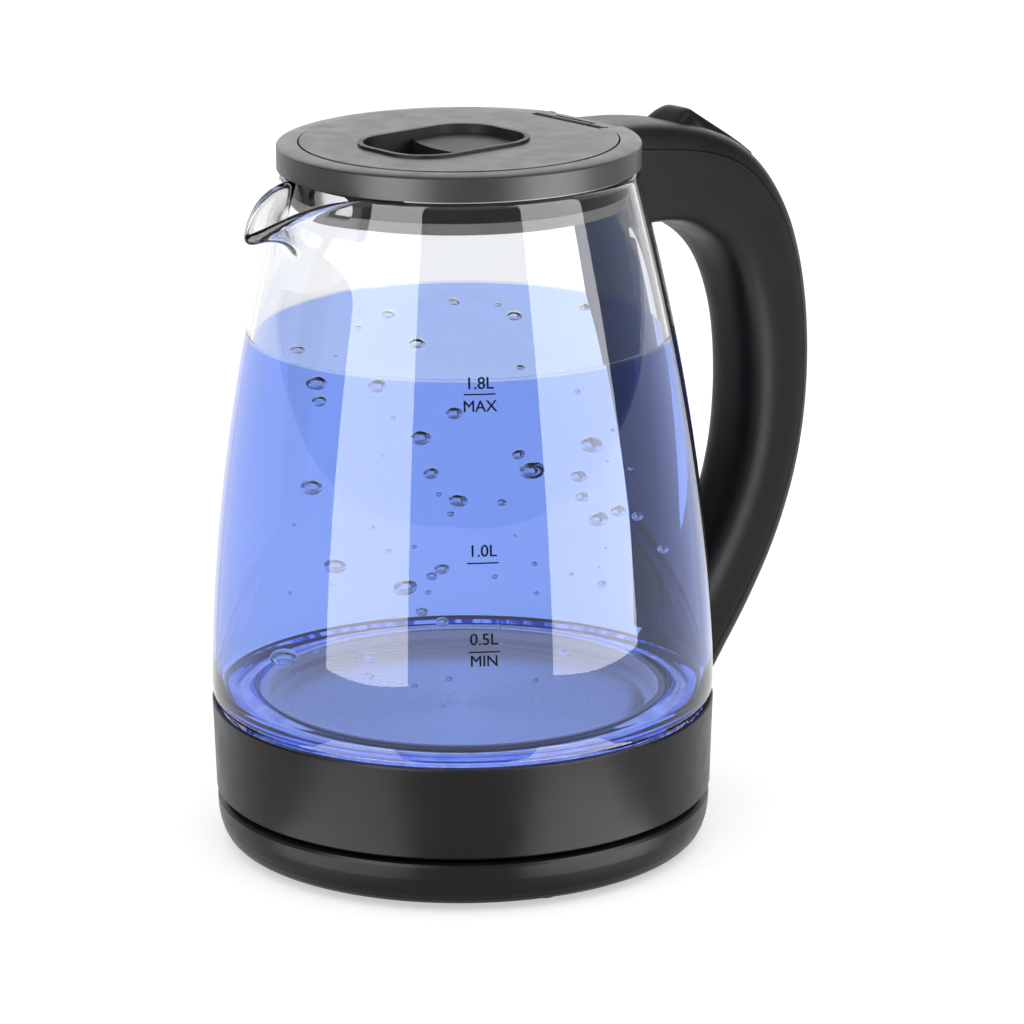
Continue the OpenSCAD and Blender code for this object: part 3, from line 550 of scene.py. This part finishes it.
def water_loops():
    """Rows from the middle of the floor, out and up the glass, to the middle of the surface."""
    rows = [(POLE, DISH_FLOOR - 0.4), (30, DISH_FLOOR - 0.4), (DISH_IN, DISH_FLOOR - 0.4)]
    rows += [(DISH_IN + 3.2, DISH_FLOOR + 1.6), (DISH_IN + 3.4, FLOOR_TOP - 0.4)]
    rows += [(FLANGE_IN + 0.3, FLOOR_TOP - 0.7)]
    rows += [(r + 0.2, z - 0.4) for r, z in reversed(FLOOR_STEPS[:-2])]
    rows += [(glass_r(z) - GLASS_T + SUNK, z) for z in WATER_HEIGHTS]
    edge = glass_r(WATER_TOP) - GLASS_T + SUNK
    rows += [(edge - 0.25, WATER_TOP + 0.1), (edge - 0.9, WATER_TOP - 0.25)]
    rows += [(edge - 2.2, WATER_TOP - 0.5)]
    rows += [(edge * 0.6, WATER_TOP - 0.6), (POLE, WATER_TOP - 0.6)]
    return [[round_axis(r, t, z) for t in ROUND] for r, z in rows]


water_verts, water_faces = loops_to_mesh(water_loops(), closed_rows=False)
last_row = len(water_verts) - len(ROUND)
water_faces += [tuple(reversed(range(len(ROUND)))), tuple(range(last_row, len(water_verts)))]
water = new_piece("water", water_verts, water_faces, WATER, "kettle", math.radians(50))


# ---- handle shells, finer than the CAD's ----
# Outer edge x and z, inner edge x and z, half width, squareness, seam's share of the depth.
STATIONS = [
    (57.5, 224.3, 65.6, 190.5, 16, 5, 0.215),
    (72, 223.2, 77, 190, 16, 5, 0.24),
    (86, 220.9, 86, 188.2, 16, 4.8, 0.24),
    (99, 217.2, 93.5, 184.4, 16, 4.4, 0.225),
    (111.5, 211.2, 100.3, 179.6, 15.6, 4, 0.22),
    (123, 201.4, 105.8, 173.4, 15, 3.6, 0.217),
    (132.4, 188.3, 109.6, 166.4, 14.6, 3.3, 0.21),
    (138.6, 174, 112.6, 157.4, 14.2, 3.1, 0.21),
    (142.4, 158, 114.7, 147.4, 14, 3, 0.22),
    (143.9, 140, 115.9, 136, 14, 3, 0.225),
    (143.2, 121.5, 115.9, 122, 14, 3, 0.23),
    (140.6, 104.5, 114.2, 108.4, 13.8, 3, 0.25),
    (135.9, 88.5, 110.6, 95.6, 13.5, 3, 0.27),
    (128.8, 72.2, 104.8, 83, 13.1, 3, 0.28),
    (119.6, 56.6, 97.8, 71, 12.6, 3, 0.29),
    (108.8, 41.8, 91.2, 60.6, 12.2, 3, 0.3),
    (96.6, 28, 86, 52, 11.8, 3.2, 0.31),
    (78.8, 19.9, 78.8, 43.2, 11.5, 3.6, 0.31),
]
NOSE = (51.3, 225, 51.3, 190.2, 16, 5, 0.215)
HANDLE_T = 2.6
# Gap between the two shells, and how far it climbs on its way in.
SEAM, SEAM_RISE = 0.3, 1.2
RINGS = 7


def spline_rows(rows):
    """Rows between the stations, on a smooth curve through them."""
    rows = [np.array(r, float) for r in rows]
    last = len(rows) - 1
    out = []
    for i in range(last):
        p0, p1, p2, p3 = rows[max(i - 1, 0)], rows[i], rows[i + 1], rows[min(i + 2, last)]
        for k in range(RINGS):
            t = k / RINGS
            out.append(0.5 * (2 * p1 + (p2 - p0) * t + (2 * p0 - 5 * p1 + 4 * p2 - p3) * t**2
                              + (3 * p1 - p0 - 3 * p2 + p3) * t**3))
    return out + [rows[last]]


def round_square(w, h, power, level, upper, steps):
    """Points on a rounded square from side to side of the level, over the top or under the bottom."""
    x0 = w * max(0.0, 1 - (abs(level) / h) ** power) ** (1 / power)
    a0 = math.atan2(level, x0)
    a1 = math.pi - a0 if upper else -math.pi - a0
    pts = []
    for i in range(steps + 1):
        a = a0 + (a1 - a0) * i / steps
        r = (abs(math.cos(a) / w) ** power + abs(math.sin(a) / h) ** power) ** (-1 / power)
        pts.append((r * math.cos(a), r * math.sin(a)))
    return pts


def shell_loop(station, upper, steps):
    """One cross-section of a shell: along its outside, then back along its inside."""
    outer_edge, inner_edge = np.array(station[0:2]), np.array(station[2:4])
    w, power, seam_share = station[4:7]
    h = np.linalg.norm(outer_edge - inner_edge) / 2
    n, c = (outer_edge - inner_edge) / (2 * h), (outer_edge + inner_edge) / 2
    level = h * (1 - 2 * seam_share) + (SEAM / 2 if upper else -SEAM / 2)
    outside = round_square(w, h, power, level, upper, steps)
    inner = min(level + SEAM_RISE, (h - HANDLE_T) * 0.995)
    inside = round_square(w - HANDLE_T, h - HANDLE_T, power, inner, upper, steps)
    return [Vector((c[0] + d * n[0], y, c[1] + d * n[1])) * MM for y, d in outside + inside[::-1]]


def shell_piece(name, rows, upper, steps):
    """A handle shell swept along its stations, with closed ends."""
    loops = [shell_loop(station, upper, steps) for station in spline_rows(rows)]
    verts, faces = loops_to_mesh(loops, closed_rows=False)
    n = len(loops[0])
    for start in (0, (len(loops) - 1) * n):
        for j in range(n // 2 - 1):
            faces.append((start + j, start + j + 1, start + n - 2 - j, start + n - 1 - j))
    return new_piece(name, verts, faces, HANDLE, "kettle", math.radians(40))


def cut_box(obj, low, high):
    """Cuts a box out of a piece and keeps the result as its mesh."""
    xs, ys, zs = zip(low, high)
    corners = [(x, y, z) for x in xs for y in ys for z in zs]
    sides = [(0, 1, 3, 2), (4, 6, 7, 5), (0, 4, 5, 1), (2, 3, 7, 6), (0, 2, 6, 4), (1, 5, 7, 3)]
    mesh = bpy.data.meshes.new("cutter")
    mesh.from_pydata([tuple(c * MM for c in p) for p in corners], [], sides)
    cutter = bpy.data.objects.new("cutter", mesh)
    scene.collection.objects.link(cutter)
    mod = obj.modifiers.new("cut", "BOOLEAN")
    mod.object, mod.operation, mod.solver = cutter, "DIFFERENCE", "EXACT"
    bpy.context.view_layer.update()
    done = bpy.data.meshes.new_from_object(obj.evaluated_get(bpy.context.evaluated_depsgraph_get()))
    obj.modifiers.clear()
    obj.data = done
    bpy.data.objects.remove(cutter)
    dress(obj, HANDLE)
    shade(obj, math.radians(40))


grip = shell_piece("handle_inner", STATIONS, False, 40)
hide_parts("handle_grip")
cover = shell_piece("handle_outer", [NOSE] + STATIONS, True, 28)
switch_lo, switch_hi = (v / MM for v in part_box("power_switch"))
SLOT_GAP = 0.4
SLOT_LOW, SLOT_HIGH = 195, 235
cut_box(cover, (switch_lo.x - SLOT_GAP, switch_lo.y - SLOT_GAP, SLOT_LOW),
        (switch_hi.x + SLOT_GAP, switch_hi.y + SLOT_GAP, SLOT_HIGH))
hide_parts("handle_cover")


# ---- rocker cap: a wedge with waisted sides ----
# x, height of the top, half width at the top, height of the foot line.
CAP_ROWS = [
    (85.0, 220.9, 7.3, 217.4), (86.2, 221.7, 7.2, 217.0), (88.0, 222.9, 6.7, 216.2),
    (90.0, 223.9, 6.0, 215.8), (91.4, 224.35, 5.5, 215.4), (92.4, 224.35, 5.2, 215.0),
    (93.6, 224.0, 5.0, 214.6), (96.0, 222.5, 4.9, 214.0), (100.0, 220.0, 5.0, 213.0),
    (104.4, 217.2, 5.3, 211.4), (109.5, 213.9, 5.9, 208.6), (114.0, 210.7, 6.6, 206.0),
    (118.0, 207.4, 7.3, 203.6),
]
CAP_FOOT = 7.5
SIDE_STEPS = 6


def cap_loop(x, top, half, low):
    """Half outline: a crowned top, a rounded edge and a side that curves in."""
    depth = top - low
    pts = [(0.0, 0.15), (half * 0.5, 0.12), (half * 0.82, 0.02), (half * 0.97, -0.22)]
    edge, round_down = half * 1.03, 0.6
    pts.append((edge, -round_down))
    for k in range(1, SIDE_STEPS + 1):
        t = k / SIDE_STEPS
        drop = round_down + (min(depth, 5.0) - round_down) * t
        pts.append((edge + (CAP_FOOT - edge) * t**1.8, -drop))
    pts.append((CAP_FOOT, -depth))
    right = [Vector((x, y, top + d)) * MM for y, d in pts]
    left = [Vector((p.x, -p.y, p.z)) for p in reversed(right[1:])]
    return right + left


cap_rows = [cap_loop(*row) for row in CAP_ROWS]
cap_verts, cap_faces = loops_to_mesh(cap_rows, closed_rows=False)
row_length, total = len(cap_rows[0]), len(cap_verts)
cap_faces += [tuple(range(row_length)), tuple(range(total - 1, total - row_length - 1, -1))]
cap = new_piece("rocker_cap", cap_verts, cap_faces, HANDLE, "switch", math.radians(38))
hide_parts("power_switch")


# ---- bubbles in the water ----
# Each: millimetres to the right of the axis, height above the worktop, width, depth inside the wall.
BIG_BUBBLES = [
    (-43, 160, 6.5, 3), (-50, 163, 5.0, 12), (-25, 160, 6.0, 10), (-2, 155, 5.3, 3), (-43, 148, 5.0, 20),
    (-12, 147, 6.5, 5), (-9, 137, 4.8, 3), (-1, 129, 6.0, 3), (17, 142, 4.2, 3), (21, 137, 8.0, 3),
    (39, 141, 7.0, 6), (35, 133, 5.2, 4), (36, 127, 4.2, 3), (-45, 128, 7.0, 5), (41, 119, 6.0, 4),
    (47, 120, 4.8, 4), (53, 117, 3.5, 3), (-38, 106, 7.0, 4), (-17, 102, 7.5, 4), (-6, 108, 4.8, 4),
    (-9, 106, 3.6, 3), (-12, 95, 4.0, 3), (-6, 92, 4.0, 3), (-54, 73.5, 8.5, 4), (-28, 79, 3.5, 5),
    (-28, 73, 3.0, 5), (30, 80, 3.0, 4), (42, 99, 3.2, 4), (61, 104, 3.5, 3), (12, 128, 3.0, 3),
]
SMALL_BUBBLES, SURFACE_BUBBLES = 34, 9
PLACE_SEED, SHAPE_SEED = 7, 11
FRONT = math.atan2(-TO_SCENE.y, -TO_SCENE.x)


def bubble_place(across, height, depth):
    """A place inside the front of the glass, in millimetres."""
    r = glass_r(height) - GLASS_T - depth
    t = FRONT + math.asin(max(-0.97, min(0.97, across / r)))
    return Vector((r * math.cos(t), r * math.sin(t), height))


def bubble_list():
    rng = random.Random(PLACE_SEED)
    out = [(bubble_place(a, h, d), w) for a, h, w, d in BIG_BUBBLES]
    for _ in range(SMALL_BUBBLES):
        height = rng.uniform(62, 160)
        place = bubble_place(rng.uniform(-58, 62), height, rng.uniform(2, 30))
        out.append((place, rng.uniform(1.0, 2.4)))
    for _ in range(SURFACE_BUBBLES):
        r, t = rng.uniform(20, 56), rng.uniform(0, 2 * math.pi)
        out.append((Vector((r * math.cos(t), r * math.sin(t), WATER_TOP - 1.2)), rng.uniform(2.0, 5.5)))
    return out


def make_bubbles():
    rng = random.Random(SHAPE_SEED)
    bm = bmesh.new()
    for place, width in bubble_list():
        flat = 0.82 - 0.02 * min(width, 6) - rng.uniform(0, 0.06)
        lean = rng.uniform(-0.12, 0.12)
        made = bmesh.ops.create_icosphere(bm, subdivisions=3, radius=0.5 * MM)["verts"]
        for v in made:
            x, y, z = v.co * width
            v.co = Vector((x, y, z * flat + lean * x)) + place * MM
        bmesh.ops.reverse_faces(bm, faces=list({f for v in made for f in v.link_faces}))
    mesh = bpy.data.meshes.new("bubbles")
    bm.to_mesh(mesh)
    bm.free()
    obj = bpy.data.objects.new("bubbles", mesh)
    scene.collection.objects.link(obj)
    dress(obj, BUBBLE)
    shade(obj, math.radians(90))
    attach(obj, "kettle")


make_bubbles()


# ---- level marks on the glass ----
MARK_TURN = FRONT + math.radians(4.8)
MARKS = [
    ("mark_full", "1.8L", 163.4, 3.7), ("mark_max", "MAX", 156.7, 3.5),
    ("mark_litre", "1.0L", 113.4, 3.7),
    ("mark_half", "0.5L", 86.4, 3.7), ("mark_min", "MIN", 79.8, 3.5),
]
RULES = [("rule_full", 161.8), ("rule_litre", 111.4), ("rule_half", 84.2)]
INK_T = 0.06
BOLDER = 0.06
RULE_STEPS = 12


def wrap_on_glass(mesh, height):
    for v in mesh.vertices:
        z = height + v.co.y
        r = glass_r(z) + 0.02 + v.co.z
        t = MARK_TURN + v.co.x / r
        v.co = round_axis(r, t, z)


def make_mark(name, words, height, cap):
    curve = bpy.data.curves.new(name, "FONT")
    curve.body = words
    curve.size = cap / 0.73
    curve.align_x = "CENTER"
    curve.extrude = INK_T / 2
    curve.resolution_u = 6
    text = bpy.data.objects.new(name + "_curve", curve)
    scene.collection.objects.link(text)
    bpy.context.view_layer.update()
    mesh = bpy.data.meshes.new_from_object(text.evaluated_get(bpy.context.evaluated_depsgraph_get()))
    bpy.data.objects.remove(text)
    mesh.name = name
    bm = bmesh.new()
    for shift in (-BOLDER, BOLDER):
        bm.from_mesh(mesh)
        bm.verts.ensure_lookup_table()
        for v in bm.verts[-len(mesh.vertices):]:
            v.co += Vector((shift, shift * 0.4, INK_T / 2))
    bm.to_mesh(mesh)
    bm.free()
    wrap_on_glass(mesh, height)
    obj = bpy.data.objects.new(name, mesh)
    scene.collection.objects.link(obj)
    dress(obj, INK)
    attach(obj, "kettle")


def make_rule(name, height, length=9.6, width=0.42):
    bm = bmesh.new()
    for i in range(RULE_STEPS + 1):
        x = (i / RULE_STEPS - 0.5) * length
        for y, z in ((-width / 2, 0), (width / 2, 0), (width / 2, INK_T), (-width / 2, INK_T)):
            bm.verts.new((x, y, z))
    bm.verts.ensure_lookup_table()
    for i in range(RULE_STEPS):
        for k in range(4):
            a, b = 4 * i + k, 4 * i + (k + 1) % 4
            bm.faces.new([bm.verts[j] for j in (a, b, b + 4, a + 4)])
    bm.faces.new([bm.verts[j] for j in (3, 2, 1, 0)])
    bm.faces.new([bm.verts[4 * RULE_STEPS + j] for j in (0, 1, 2, 3)])
    bmesh.ops.recalc_face_normals(bm, faces=bm.faces)
    mesh = bpy.data.meshes.new(name)
    bm.to_mesh(mesh)
    bm.free()
    wrap_on_glass(mesh, height)
    obj = bpy.data.objects.new(name, mesh)
    scene.collection.objects.link(obj)
    dress(obj, INK)
    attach(obj, "kettle")


for mark in MARKS:
    make_mark(*mark)
for rule in RULES:
    make_rule(*rule)


# ---- stage and light ----
FLOOR_HALF = 6.0


def stage_floor():
    mesh = bpy.data.meshes.new("floor")
    far = FLOOR_HALF
    corners = [(-far, -far, 0), (far, -far, 0), (far, far, 0), (-far, far, 0)]
    mesh.from_pydata(corners, [], [(0, 1, 2, 3)])
    obj = bpy.data.objects.new("floor", mesh)
    scene.collection.objects.link(obj)
    m = Mat("floor_white")
    m.set(Roughness=0.9, Specular_IOR_Level=0.1, Emission_Strength=0.5, Emission_Color=(1, 1, 1, 1))
    m.colour(m.ramp(m.noise(3), [(0.3, (0.61, 0.61, 0.61)), (0.7, (0.63, 0.63, 0.63))]))
    dress(obj, m.material)


stage_floor()


ROOM_DIM = 0.25


def studio_world():
    """White all round; in reflections the side of the room facing the front of the kettle is dim."""
    world = bpy.data.worlds.new("studio")
    world.use_nodes = True
    tree = world.node_tree
    back = tree.nodes["Background"]
    coords = tree.nodes.new("ShaderNodeTexCoord")
    dot = tree.nodes.new("ShaderNodeVectorMath")
    dot.operation = "DOT_PRODUCT"
    dot.inputs[1].default_value = TO_SCENE
    tree.links.new(coords.outputs["Generated"], dot.inputs[0])
    ramp = tree.nodes.new("ShaderNodeMapRange")
    ramp.interpolation_type = "SMOOTHSTEP"
    ramp.inputs["From Min"].default_value = 0.5
    ramp.inputs["From Max"].default_value = 0.95
    ramp.inputs["To Min"].default_value = ROOM_DIM
    tree.links.new(dot.outputs["Value"], ramp.inputs["Value"])
    path = tree.nodes.new("ShaderNodeLightPath")
    mix = tree.nodes.new("ShaderNodeMix")
    mix.data_type = "FLOAT"
    mix.inputs["A"].default_value = 1.0
    tree.links.new(path.outputs["Is Glossy Ray"], mix.inputs["Factor"])
    tree.links.new(ramp.outputs["Result"], mix.inputs["B"])
    back.inputs["Color"].default_value = (1, 1, 1, 1)
    tree.links.new(mix.outputs["Result"], back.inputs["Strength"])
    scene.world = world


studio_world()
scene.view_settings.view_transform = "Standard"


def softbox(name, azimuth, distance, height, size, radiance, facing=None, diffuse=True):
    """A soft area light; azimuth is measured to the right of the camera's side of the object."""
    data = bpy.data.lights.new(name, "AREA")
    data.shape = "RECTANGLE"
    data.size, data.size_y = size
    data.energy = radiance * math.pi * size[0] * size[1]
    obj = bpy.data.objects.new(name, data)
    scene.collection.objects.link(obj)
    t = math.radians(azimuth)
    side = -TO_SCENE * math.cos(t) + TO_RIGHT * math.sin(t)
    obj.location = side * distance + Vector((0, 0, height))
    z_axis = -Vector(facing) if facing else Vector((side.x, side.y, 0))
    y_axis = side if facing else Vector((0, 0, 1))
    x_axis = y_axis.cross(z_axis).normalized()
    z_axis.normalize()
    turn = Matrix((x_axis, z_axis.cross(x_axis), z_axis)).transposed()
    obj.rotation_mode = "QUATERNION"
    obj.rotation_quaternion = turn.to_quaternion()
    obj.visible_diffuse = diffuse
    obj.visible_camera = False
    obj.visible_transmission = False


UP, DOWN = (0, 0, 1), (0, 0, -1)
softbox("box_left", -38, 0.26, 0.278, (0.16, 0.492), 8.0, diffuse=False)
softbox("box_left_low", -38, 0.145, 0.002, (0.085, 0.11), 3.9, UP, diffuse=False)
softbox("box_right", 55, 0.25, 0.28, (0.18, 0.488), 8.0, diffuse=False)
softbox("box_right_low", 40, 0.145, 0.002, (0.085, 0.11), 5.6, UP, diffuse=False)
softbox("box_top", 10, 0.5, 1.5, (1.6, 1.6), 0.6, DOWN)
softbox("box_back", 180, 1.6, 0.75, (2.4, 0.9), 1.1, diffuse=False)
